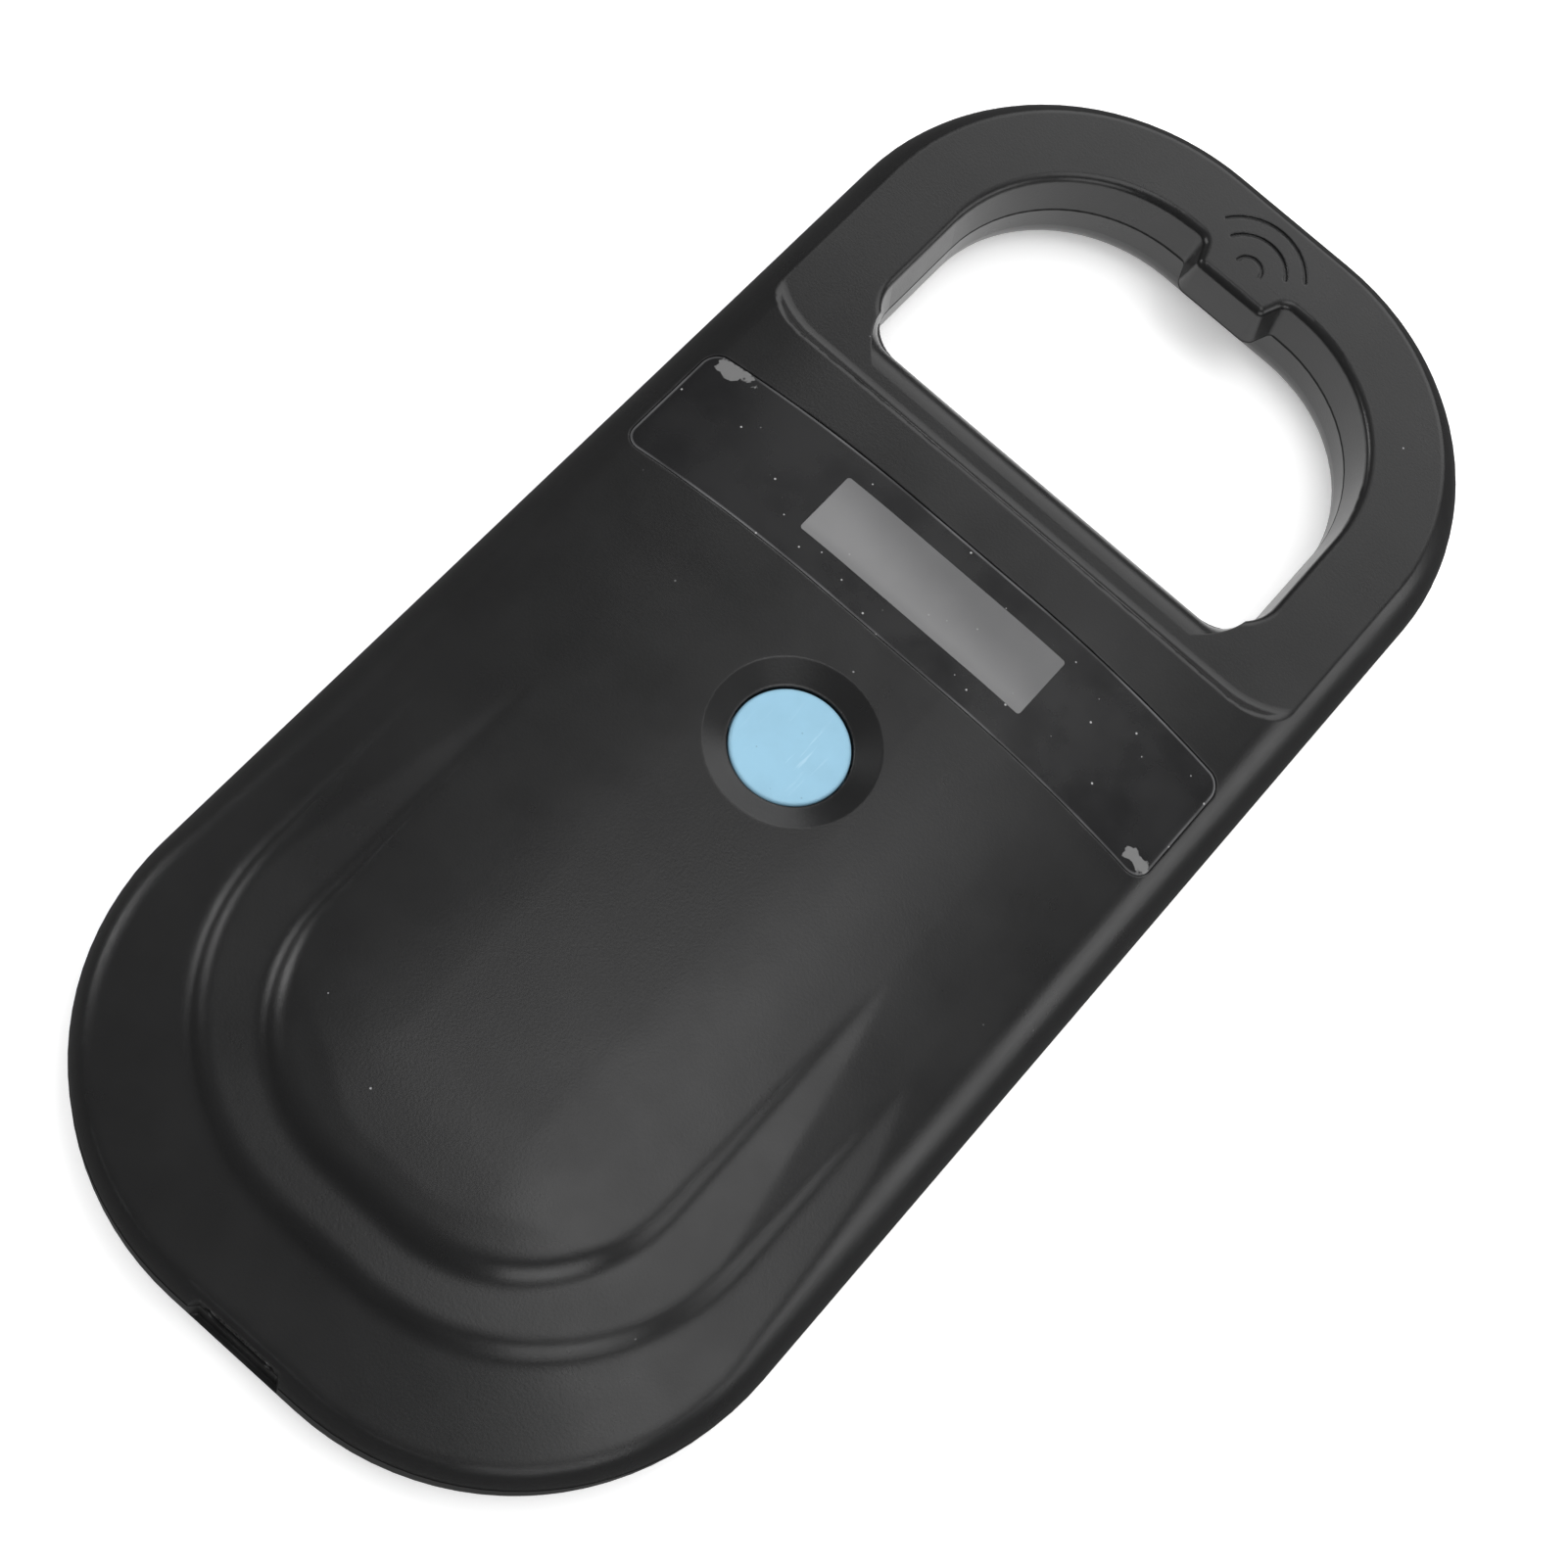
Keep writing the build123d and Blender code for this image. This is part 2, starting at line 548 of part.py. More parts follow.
with BuildPart() as usb_shell:
    with BuildSketch(Plane.XZ.offset(82.9)):
        with Locations((0, USB_Z)):
            RectangleRounded(USB_W, USB_H, 0.8)
            RectangleRounded(USB_W - 0.6, USB_H - 0.6, 0.5, mode=Mode.SUBTRACT)
    extrude(amount=-5.5)
    with Locations((0, -77.6, USB_Z)):
        Box(USB_W - 0.5, 0.4, USB_H - 0.5)

with BuildPart() as usb_tongue:
    with Locations((0, -80.0, USB_Z + 0.3)):
        Box(4.4, 4.4, 0.6)

with BuildPart() as charge_screws:
    with Locations(*[(x, y, USB_Z - USB_H / 2) for x, y in CHARGE_HOLES]):
        Cylinder(1.5, 1.0, align=LOW)
        Cylinder(0.8, 4, align=(Align.CENTER, Align.CENTER, Align.MAX))

with BuildPart() as charge_leads:
    for side in (-2, 2):
        add(wire([(side, -74.3, 6.8), (side, -60, 5.2), (side, -40, 5.2), (side, -24.6, 8.3)],
                 [(0, 1, 0), (0, 0, 1)], 0.4))

# ---------------------------------------------------------------- files

NODES = {
    "upper_shell": upper_shell, "lower_shell": lower_shell, "display_label": display_label,
    "display_window": display_window, "rating_label": rating_label, "button_cap": button_cap,
    "switch_body": switch_body, "switch_plunger": switch_plunger, "main_board": main_board,
    "board_screws": board_screws, "case_screws": case_screws,
    "display_carrier": display_carrier, "display_glass": display_glass,
    "display_connector": display_connector, "display_ribbon": display_ribbon,
    "controller_chip": controller_chip, "reader_chip": reader_chip,
    "crystal_can": crystal_can, "capacitors": capacitors, "power_inductor": power_inductor,
    "buzzer": buzzer, "battery_header": battery_header, "battery_plug": battery_plug,
    "battery_pad": battery_pad, "battery_cell": battery_cell, "battery_leads": battery_leads,
    "antenna_coil": antenna_coil, "coil_former": coil_former, "coil_leads": coil_leads,
    "charge_board": charge_board, "usb_shell": usb_shell, "usb_tongue": usb_tongue,
    "charge_screws": charge_screws, "charge_leads": charge_leads,
}
for name, node in NODES.items():
    node.part.label = name
    export_step(node.part, "parts/" + name + ".step")
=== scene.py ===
import logging
from dataclasses import dataclass
from enum import Enum
from typing import Optional, Union

import bmesh
import bpy
from mathutils import Matrix, Vector


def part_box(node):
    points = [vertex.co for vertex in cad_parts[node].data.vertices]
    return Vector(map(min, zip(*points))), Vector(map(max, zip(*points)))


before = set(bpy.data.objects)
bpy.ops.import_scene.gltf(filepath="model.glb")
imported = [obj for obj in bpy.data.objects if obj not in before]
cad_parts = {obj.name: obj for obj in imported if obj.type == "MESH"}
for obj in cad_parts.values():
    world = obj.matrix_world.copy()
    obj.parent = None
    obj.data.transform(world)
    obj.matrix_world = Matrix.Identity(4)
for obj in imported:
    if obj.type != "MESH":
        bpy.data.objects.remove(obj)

LOG = logging.getLogger("scanner")
MM = 0.001

Colour = tuple[float, float, float]
Socket = bpy.types.NodeSocket
Value = Union[float, int, Colour, tuple[float, ...], Socket]


# ------------------------------------------------------------------ shader desk

class ShaderDesk:
    """Lays the shader nodes of one material and wires them to its surface."""

    def __init__(self, name: str) -> None:
        """Starts an empty material with one surface shader.

        Args:
            name: Name of the material.
        """
        self.material = bpy.data.materials.new(name)
        self.material.use_nodes = True
        self.tree = self.material.node_tree
        self.tree.nodes.clear()
        self.output = self.tree.nodes.new("ShaderNodeOutputMaterial")
        self.surface = self.tree.nodes.new("ShaderNodeBsdfPrincipled")
        self.tree.links.new(self.surface.outputs["BSDF"], self.output.inputs["Surface"])
        self.place: Socket = self.node("ShaderNodeTexCoord").outputs["Object"]

    def node(self, kind: str, settings: Optional[dict[str, object]] = None,
             **inputs: Value) -> bpy.types.Node:
        """Adds one node.

        Args:
            kind: Type of the node.
            settings: Properties of the node itself.
            **inputs: Input sockets by name, or by number as in i0 and i1.

        Returns:
            The new node.
        """
        made = self.tree.nodes.new(kind)
        for key, value in (settings or {}).items():
            setattr(made, key, value)
        for key, value in inputs.items():
            by_number = key[0] == "i" and key[1:].isdigit()
            self.feed(made.inputs[int(key[1:]) if by_number else key.replace("_", " ")], value)
        return made

    def feed(self, socket: Socket, value: Value) -> None:
        """Sets a socket to a value, or wires another socket to it.

        Args:
            socket: The input to feed.
            value: A number, a colour, a vector or an output socket.
        """
        if isinstance(value, bpy.types.NodeSocket):
            self.tree.links.new(value, socket)
        elif isinstance(value, tuple) and socket.type == "RGBA" and len(value) == 3:
            socket.default_value = (*value, 1.0)
        else:
            socket.default_value = value

    def math(self, what: str, a: Value, b: Value = 0.0, clamp: bool = False) -> Socket:
        """Adds one sum on numbers and returns its result."""
        done = self.node("ShaderNodeMath", {"operation": what, "use_clamp": clamp}, i0=a, i1=b)
        return done.outputs[0]

    def vector(self, what: str, a: Value, b: Value = (0.0, 0.0, 0.0)) -> Socket:
        """Adds one sum on vectors and returns its vector."""
        return self.node("ShaderNodeVectorMath", {"operation": what}, i0=a, i1=b).outputs[0]

    def length(self, a: Value) -> Socket:
        """Returns the length of a vector."""
        return self.node("ShaderNodeVectorMath", {"operation": "LENGTH"}, i0=a).outputs["Value"]

    def ramp(self, value: Socket, low: float, high: float, to_low: float = 0.0,
             to_high: float = 1.0) -> Socket:
        """Maps a number smoothly from one range to another.

        Args:
            value: The number to map.
            low: Start of the range.
            high: End of the range.
            to_low: Result at the start.
            to_high: Result at the end.

        Returns:
            The mapped number.
        """
        mapped = self.node("ShaderNodeMapRange", {"interpolation_type": "SMOOTHSTEP"},
                           Value=value, From_Min=low, From_Max=high, To_Min=to_low, To_Max=to_high)
        return mapped.outputs["Result"]

    def noise(self, pitch: float, detail: float = 3.0, stretch: Colour = (1.0, 1.0, 1.0),
              shift: Colour = (0.0, 0.0, 0.0)) -> Socket:
        """Adds cloudy noise.

        Args:
            pitch: Size of one cloud, in metres.
            detail: Number of finer layers.
            stretch: How much longer the clouds are along each axis.
            shift: Offset of the pattern, in metres.

        Returns:
            The noise from 0 to 1.
        """
        scale = tuple(1.0 / s for s in stretch)
        held = self.node("ShaderNodeMapping", None, Vector=self.place, Location=shift, Scale=scale)
        cloud = self.node("ShaderNodeTexNoise", None, Vector=held.outputs[0], Scale=1.0 / pitch,
                          Detail=detail, Roughness=0.55)
        return cloud.outputs["Fac"]

    def specks(self, pitch: float, reach: float) -> Socket:
        """Adds sparse dots that lie near points scattered about `pitch` apart.

        Args:
            pitch: Spacing of the points, in metres.
            reach: Largest radius of a dot, in metres.

        Returns:
            A mask that is 1 in the dots.
        """
        cells = self.node("ShaderNodeTexVoronoi", None, Vector=self.place, Scale=1.0 / pitch,
                          Randomness=1.0)
        return self.ramp(cells.outputs["Distance"], 0.6 * reach / pitch, reach / pitch, 1.0, 0.0)

    def mix(self, share: Value, a: Value, b: Value) -> Socket:
        """Mixes two colours.

        Args:
            share: How much of the second colour there is, from 0 to 1.
            a: The first colour.
            b: The second colour.

        Returns:
            The mixed colour.
        """
        blend = self.node("ShaderNodeMix", {"data_type": "RGBA"})
        self.feed(blend.inputs[0], share)
        self.feed(blend.inputs[6], a)
        self.feed(blend.inputs[7], b)
        return blend.outputs[2]

    def bump(self, height: Value, depth: float, normal: Optional[Socket] = None) -> Socket:
        """Turns a height from 0 to 1 into a surface direction.

        Args:
            height: The height.
            depth: What a height of 1 measures, in metres.
            normal: Surface direction to start from.

        Returns:
            The new surface direction.
        """
        made = self.node("ShaderNodeBump", None, Height=height, Distance=depth, Strength=1.0)
        if normal is not None:
            self.feed(made.inputs["Normal"], normal)
        return made.outputs["Normal"]

    def finish(self, **sockets: Value) -> bpy.types.Material:
        """Sets the surface shader's sockets.

        Args:
            **sockets: Values or output sockets by the name of the input that they feed.

        Returns:
            The finished material.
        """
        for key, value in sockets.items():
            self.feed(self.surface.inputs[key.replace("_", " ")], value)
        return self.material


# ------------------------------------------------------------------ finishes

@dataclass(frozen=True)
class GrainedPlastic:
    """Moulded case plastic with a fine spark-eroded grain, softened edges, dust and light wear."""

    name: str
    tint: Colour
    worn: Colour
    roughness: float = 0.30
    grain: float = 0.28 * MM
    grain_depth: float = 0.010 * MM
    edge: float = 0.25 * MM
    step_edge: float = 1.7 * MM
    step_from: float = -0.012
    ridge_radius: float = 0.5 * MM
    cloud: float = 17 * MM
    rub_cloud: float = 5 * MM
    sheen_cloud: float = 9 * MM
    sheen_play: float = 0.035
    dust: Colour = (0.42, 0.42, 0.43)
    dust_gap: float = 4.3 * MM
    dust_size: float = 0.13 * MM
    dust_cloud: float = 16 * MM
    seam: float = 8.2 * MM
    seam_half_width: tuple[float, float] = (0.12 * MM, 0.24 * MM)
    seam_tint: Colour = (0.0015, 0.0015, 0.0015)

    def build(self) -> bpy.types.Material:
        """Builds the material.

        Returns:
            The new material.
        """
        desk = ShaderDesk(self.name)
        axes = desk.node("ShaderNodeSeparateXYZ", None, Vector=desk.place)
        radius = desk.ramp(axes.outputs["Y"], self.step_from - 0.012, self.step_from, self.step_edge,
                           self.edge)
        soft = desk.node("ShaderNodeBevel", {"samples": 6}, Radius=radius).outputs["Normal"]

        # wear on the ridges
        plain = desk.node("ShaderNodeNewGeometry").outputs["Normal"]
        tight = desk.node("ShaderNodeBevel", {"samples": 4}, Radius=self.ridge_radius)
        turn = desk.node("ShaderNodeVectorMath", {"operation": "DOT_PRODUCT"}, i0=plain,
                         i1=tight.outputs["Normal"])
        ridge = desk.ramp(turn.outputs["Value"], 0.86, 0.995, 1.0, 0.0)
        rub = desk.math("MULTIPLY", ridge, desk.ramp(desk.noise(self.rub_cloud, 3.0), 0.42, 0.6))
        cloud = desk.ramp(desk.noise(self.cloud, 4.0), 0.3, 0.7)
        tint = desk.mix(cloud, self.tint, tuple(c * 1.22 for c in self.tint))
        tint = desk.mix(desk.math("MULTIPLY", rub, 0.55), tint, self.worn)

        # sparse dust
        where = desk.ramp(desk.noise(self.dust_cloud, 2.0, shift=(0.1, 0.3, 0.0)), 0.46, 0.6)
        dust = desk.math("MULTIPLY", desk.specks(self.dust_gap, self.dust_size), where)
        tint = desk.mix(desk.math("MULTIPLY", dust, 0.6), tint, self.dust)

        # dark line where the two shells meet
        off_seam = desk.math("ABSOLUTE", desk.math("SUBTRACT", axes.outputs["Z"], self.seam))
        seam = desk.ramp(off_seam, *self.seam_half_width, 1.0, 0.0)
        tint = desk.mix(seam, tint, self.seam_tint)

        sheen = desk.noise(self.sheen_cloud, 5.0, shift=(0.2, 0.1, 0.0))
        rough = desk.ramp(sheen, 0.25, 0.75, self.roughness - self.sheen_play,
                          self.roughness + self.sheen_play)
        rough = desk.math("SUBTRACT", rough, desk.math("MULTIPLY", rub, 0.08))
        rough = desk.math("ADD", rough, desk.math("MULTIPLY", seam, 0.65), clamp=True)
        normal = desk.bump(desk.noise(self.grain, 2.0), self.grain_depth, soft)
        return desk.finish(Base_Color=tint, Roughness=rough, Normal=normal)


@dataclass(frozen=True)
class LabelFilm:
    """Printed gloss film of the display label: two lifted corners, a painted highlight on its cut
    edge.
    """

    name: str
    centre: Colour
    half: tuple[float, float]
    corner: float
    tint: Colour = (0.0090, 0.0090, 0.0095)
    # painted highlight along the film's cut edge: its colour, and the band inside the outline where
    # it fades in
    edge_highlight_tint: Colour = (0.16, 0.16, 0.165)
    painted_rim: tuple[float, float] = (-0.30 * MM, -0.12 * MM)
    lift_tint: Colour = (0.22, 0.22, 0.22)
    lift_insets: tuple[tuple[float, float], ...] = ((3.4 * MM, 0.9 * MM), (1.6 * MM, 1.6 * MM))
    tear: float = 3.4 * MM
    tear_cloud: float = 1.7 * MM
    dust: Colour = (0.5, 0.5, 0.5)
    dust_gap: float = 1.8 * MM
    dust_size: float = 0.14 * MM
    roughness: float = 0.27
    sheen_play: float = 0.06

    def build(self) -> bpy.types.Material:
        """Builds the material.

        Returns:
            The new material.
        """
        desk = ShaderDesk(self.name)
        local = desk.vector("SUBTRACT", desk.place, self.centre)
        flat = desk.vector("MULTIPLY", local, (1.0, 1.0, 0.0))
        shine = desk.ramp(desk.noise(14 * MM, 4.0), 0.3, 0.7)
        tint = desk.mix(shine, self.tint, tuple(c * 1.15 for c in self.tint))

        # painted highlight along the film's cut edge, fainter in places
        inner = (self.half[0] - self.corner, self.half[1] - self.corner, 1.0)
        reach = desk.vector("MAXIMUM", desk.vector("SUBTRACT", desk.vector("ABSOLUTE", flat), inner))
        out = desk.math("SUBTRACT", desk.length(reach), self.corner)
        faint = desk.ramp(desk.noise(11 * MM, 2.0), 0.36, 0.62, 0.25, 1.0)
        painted_rim = desk.math("MULTIPLY", desk.ramp(out, *self.painted_rim), faint)
        tint = desk.mix(desk.math("MULTIPLY", painted_rim, 0.6), tint, self.edge_highlight_tint)

        # lifted corners
        (left, top), (right, bottom) = self.lift_insets
        lifts = [self.lift(desk, flat, -self.half[0] + left, self.half[1] - top),
                 self.lift(desk, flat, self.half[0] - right, -self.half[1] + bottom)]
        lifted = desk.math("MAXIMUM", *lifts)
        tint = desk.mix(desk.math("MULTIPLY", lifted, 0.6), tint, self.lift_tint)

        dust = desk.specks(self.dust_gap, self.dust_size)
        tint = desk.mix(desk.math("MULTIPLY", dust, 0.65), tint, self.dust)
        rough = desk.ramp(desk.noise(6 * MM, 5.0), 0.25, 0.75, self.roughness - self.sheen_play,
                          self.roughness + self.sheen_play)
        rough = desk.math("ADD", rough, desk.math("MULTIPLY", lifted, 0.25))
        waves = desk.noise(7 * MM, 2.0)
        return desk.finish(Base_Color=tint, Roughness=rough, Normal=desk.bump(waves, 0.006 * MM))

    def lift(self, desk: ShaderDesk, flat: Socket, x: float, y: float) -> Socket:
        """Draws one ragged spot where the film has come off.

        Args:
            desk: The desk of the film's material.
            flat: Place on the film, from its centre.
            x: The spot's place along the film.
            y: The spot's place across the film.

        Returns:
            A mask that is 1 in the spot.
        """
        away = desk.vector("SUBTRACT", flat, (x, y, 0.0))
        away = desk.length(desk.vector("MULTIPLY", away, (0.55, 1.0, 1.0)))
        torn = desk.noise(self.tear_cloud, 3.0, shift=(x, y, 0.0))
        edge = desk.math("SUBTRACT", away, desk.math("MULTIPLY", torn, self.tear))
        return desk.ramp(edge, -0.9 * MM, -0.75 * MM, 1.0, 0.0)


@dataclass(frozen=True)
class SmokedPane:
    """Display window: a smoked pane that darkens towards the handle, with painted shade along its
    lower border.
    """

    name: str
    centre: Colour
    half: tuple[float, float]
    dark: Colour = (0.118, 0.118, 0.120)
    light: Colour = (0.185, 0.185, 0.187)
    slant: tuple[float, float] = (0.55, 3.0)
    fade: tuple[float, float] = (-9 * MM, 12 * MM)
    # band of painted shade along the pane's lower border
    border: tuple[float, float] = (0.2 * MM, 1.5 * MM)
    dust: Colour = (0.4, 0.4, 0.4)
    roughness: float = 0.2

    def build(self) -> bpy.types.Material:
        """Builds the material.

        Returns:
            The new material.
        """
        desk = ShaderDesk(self.name)
        local = desk.vector("SUBTRACT", desk.place, self.centre)
        axes = desk.node("ShaderNodeSeparateXYZ", None, Vector=local)
        slant = desk.math("ADD", desk.math("MULTIPLY", axes.outputs["X"], self.slant[0]),
                          desk.math("MULTIPLY", axes.outputs["Y"], self.slant[1]))
        wave = desk.math("ADD", slant, desk.math("MULTIPLY", desk.noise(20 * MM, 2.0), 5 * MM))
        tint = desk.mix(desk.ramp(wave, *self.fade), self.light, self.dark)
        # painted shade along the pane's lower border
        above = desk.math("ADD", axes.outputs["Y"], self.half[1])
        low = desk.ramp(above, *self.border, 1.0, 0.0)
        tint = desk.mix(desk.math("MULTIPLY", low, 0.35), tint, self.dark)
        dust = desk.specks(2.2 * MM, 0.13 * MM)
        tint = desk.mix(desk.math("MULTIPLY", dust, 0.35), tint, self.dust)
        rough = desk.ramp(desk.noise(5 * MM, 4.0), 0.3, 0.7, self.roughness - 0.04,
                          self.roughness + 0.05)
        return desk.finish(Base_Color=tint, Roughness=rough,
                           Normal=desk.bump(desk.noise(3 * MM, 2.0), 0.006 * MM))


@dataclass(frozen=True)
class ButtonPlastic:
    """Satin coloured plastic of the push button, scuffed a little where a thumb rubs it, with
    painted shade at its edge.
    """

    name: str
    centre: Colour
    radius: float
    tint: Colour = (0.232, 0.422, 0.548)
    scuffed: Colour = (0.62, 0.8, 0.9)
    dust: Colour = (0.12, 0.2, 0.28)
    # width of the band of painted shade at the cap's edge
    painted_rim: float = 0.55 * MM
    roughness: float = 0.42

    def build(self) -> bpy.types.Material:
        """Builds the material.

        Returns:
            The new material.
        """
        desk = ShaderDesk(self.name)
        local = desk.vector("MULTIPLY", desk.vector("SUBTRACT", desk.place, self.centre),
                            (1.0, 1.0, 0.0))
        away = desk.length(local)
        cloud = desk.ramp(desk.noise(4 * MM, 4.0), 0.3, 0.7)
        tint = desk.mix(cloud, self.tint, tuple(c * 1.07 for c in self.tint))
        # painted shade: the colour darkens towards the cap's outer edge
        edge = desk.ramp(away, self.radius - self.painted_rim, self.radius)
        tint = desk.mix(desk.math("MULTIPLY", edge, 0.35), tint, tuple(c * 0.72 for c in self.tint))
        scuff = desk.noise(0.5 * MM, 3.0, stretch=(1.0, 9.0, 1.0))
        worn = desk.math("MULTIPLY", desk.ramp(scuff, 0.6, 0.72),
                         desk.ramp(away, 1.5 * MM, 5 * MM, 1.0, 0.2))
        tint = desk.mix(desk.math("MULTIPLY", worn, 0.22), tint, self.scuffed)
        dust = desk.specks(2.4 * MM, 0.12 * MM)
        tint = desk.mix(desk.math("MULTIPLY", dust, 0.5), tint, self.dust)
        rough = desk.ramp(desk.noise(3 * MM, 4.0), 0.25, 0.75, self.roughness - 0.05,
                          self.roughness + 0.06)
        return desk.finish(Base_Color=tint, Roughness=rough,
                           Normal=desk.bump(desk.noise(0.22 * MM, 2.0), 0.005 * MM))


@dataclass(frozen=True)
class MouldedPlastic:
    """Plain moulded plastic or rubber of the inner parts."""

    name: str
    tint: Colour
    roughness: float = 0.5
    grain: float = 0.3 * MM
    grain_depth: float = 0.008 * MM
    mottle: float = 0.15

    def build(self) -> bpy.types.Material:
        """Builds the material.

        Returns:
            The new material.
        """
        desk = ShaderDesk(self.name)
        darker = tuple(c * (1.0 - self.mottle) for c in self.tint)
        tint = desk.mix(desk.ramp(desk.noise(5 * MM, 4.0), 0.3, 0.7), darker, self.tint)
        rough = desk.ramp(desk.noise(3 * MM, 4.0), 0.25, 0.75, self.roughness - 0.06,
                          self.roughness + 0.06)
        return desk.finish(Base_Color=tint, Roughness=rough,
                           Normal=desk.bump(desk.noise(self.grain, 2.0), self.grain_depth))


class MetalGrain(Enum):
    """Ways that a metal surface is worked."""

    TURNED = (1.0, 1.0, 6.0)
    DRAWN = (1.0, 14.0, 1.0)
    PLATED = (1.0, 1.0, 1.0)


@dataclass(frozen=True)
class Metal:
    """Metal with a worked grain and a little tarnish."""

    name: str
    tint: Colour
    tarnish: Colour
    grain: MetalGrain = MetalGrain.PLATED
    roughness: float = 0.3

    def build(self) -> bpy.types.Material:
        """Builds the material.

        Returns:
            The new material.
        """
        desk = ShaderDesk(self.name)
        stain = desk.ramp(desk.noise(2.5 * MM, 5.0), 0.48, 0.75)
        tint = desk.mix(stain, self.tint, self.tarnish)
        lines = desk.noise(0.12 * MM, 2.0, stretch=self.grain.value)
        rough = desk.math("ADD", desk.math("MULTIPLY", stain, 0.15),
                          desk.ramp(lines, 0.3, 0.7, self.roughness - 0.07, self.roughness + 0.07))
        return desk.finish(Base_Color=tint, Roughness=rough, Metallic=1.0,
                           Normal=desk.bump(lines, 0.004 * MM))


@dataclass(frozen=True)
class SolderMask:
    """Circuit board with copper runs under a glossy mask."""

    name: str
    mask: Colour
    run: Colour

    def build(self) -> bpy.types.Material:
        """Builds the material.

        Returns:
            The new material.
        """
        desk = ShaderDesk(self.name)
        bricks = desk.node("ShaderNodeTexBrick", {"offset": 0.5}, Vector=desk.place,
                           Scale=1.0 / (9 * MM), Mortar_Size=0.028, Mortar_Smooth=0.2,
                           Brick_Width=0.9, Row_Height=0.22)
        runs = desk.math("SUBTRACT", 1.0, bricks.outputs["Fac"])
        shade = desk.mix(desk.ramp(desk.noise(8 * MM, 3.0), 0.3, 0.7), self.mask,
                         tuple(c * 1.25 for c in self.mask))
        tint = desk.mix(runs, self.run, shade)
        rough = desk.ramp(desk.noise(2 * MM, 3.0), 0.3, 0.7, 0.26, 0.38)
        return desk.finish(Base_Color=tint, Roughness=rough,
                           Normal=desk.bump(bricks.outputs["Fac"], 0.03 * MM))


@dataclass(frozen=True)
class BlankLabel:
    """Satin rating label, left blank, with faint paper fibres."""

    name: str
    tint: Colour

    def build(self) -> bpy.types.Material:
        """Builds the material.

        Returns:
            The new material.
        """
        desk = ShaderDesk(self.name)
        fibre = desk.noise(0.4 * MM, 4.0, stretch=(5.0, 1.0, 1.0))
        tint = desk.mix(desk.ramp(fibre, 0.3, 0.7), self.tint, tuple(c * 0.93 for c in self.tint))
        dust = desk.specks(4 * MM, 0.2 * MM)
        tint = desk.mix(desk.math("MULTIPLY", dust, 0.5), tint, (0.25, 0.25, 0.24))
        rough = desk.ramp(desk.noise(6 * MM, 3.0), 0.3, 0.7, 0.36, 0.48)
        return desk.finish(Base_Color=tint, Roughness=rough,
                           Normal=desk.bump(fibre, 0.006 * MM))


@dataclass(frozen=True)
class PaleFloor:
    """Matt white table paper, lit a little from below."""

    name: str = "studio_paper"
    tint: Colour = (0.93, 0.93, 0.93)
    glow: float = 0.32

    def build(self) -> bpy.types.Material:
        """Builds the material.

        Returns:
            The new material.
        """
        desk = ShaderDesk(self.name)
        tint = desk.mix(desk.ramp(desk.noise(0.3, 2.0), 0.3, 0.7), self.tint,
                        tuple(c * 0.99 for c in self.tint))
        return desk.finish(Base_Color=tint, Roughness=0.95, Specular_IOR_Level=0.1,
                           Emission_Color=(1.0, 1.0, 1.0), Emission_Strength=self.glow)


Finish = Union[GrainedPlastic, LabelFilm, SmokedPane, ButtonPlastic, MouldedPlastic, Metal,
               SolderMask, BlankLabel]


# ------------------------------------------------------------------ sub-assemblies

class Assembly:
    """A group of parts on one body, each with its own finish."""

    def finishes(self) -> dict[str, Finish]:
        """Chooses the finishes.

        Returns:
            The finish of each part by the name of its node.
        """
        raise NotImplementedError

    def build(self) -> None:
        """Gives each part its finish."""
        for node, finish in self.finishes().items():
            material = finish.build()
            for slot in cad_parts[node].material_slots:
                slot.material = material
            LOG.info("dressed %s in %s", node, finish.name)


@dataclass(frozen=True)
class CaseShells(Assembly):
    """The two case shells and the blank rating label."""

    black: Colour = (0.0090, 0.0090, 0.0092)
    worn: Colour = (0.045, 0.045, 0.046)
    back_edge: float = 0.3 * MM

    def finishes(self) -> dict[str, Finish]:
        """Chooses the finishes.

        Returns:
            The finish of each part by the name of its node.
        """
        return {
            "upper_shell": GrainedPlastic("case_black", self.black, self.worn),
            "lower_shell": GrainedPlastic("case_back", self.black, self.worn,
                                          step_edge=self.back_edge),
            "rating_label": BlankLabel("rear_label", (0.62, 0.63, 0.64)),
        }


@dataclass(frozen=True)
class Display(Assembly):
    """The label, the window and the display module behind it."""

    corner: float = 1.9 * MM
    border: float = 0.9 * MM

    def finishes(self) -> dict[str, Finish]:
        """Chooses the finishes.

        Returns:
            The finish of each part by the name of its node.
        """
        low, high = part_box("display_label")
        pane_low, pane_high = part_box("display_window")
        half, pane_half = (high - low) / 2, (pane_high - pane_low) / 2
        return {
            "display_label": LabelFilm("label_film", tuple((low + high) / 2), (half.x, half.y),
                                       self.corner),
            "display_window": SmokedPane("window_pane", tuple((pane_low + pane_high) / 2),
                                         (pane_half.x - self.border, pane_half.y - self.border)),
            "display_glass": MouldedPlastic("panel_glass", (0.03, 0.03, 0.05), 0.12,
                                            grain_depth=0.0),
            "display_carrier": MouldedPlastic("carrier_white", (0.8, 0.8, 0.78)),
            "display_connector": MouldedPlastic("connector_black", (0.06, 0.06, 0.06)),
            "display_ribbon": MouldedPlastic("ribbon_amber", (0.55, 0.27, 0.04), 0.22),
        }


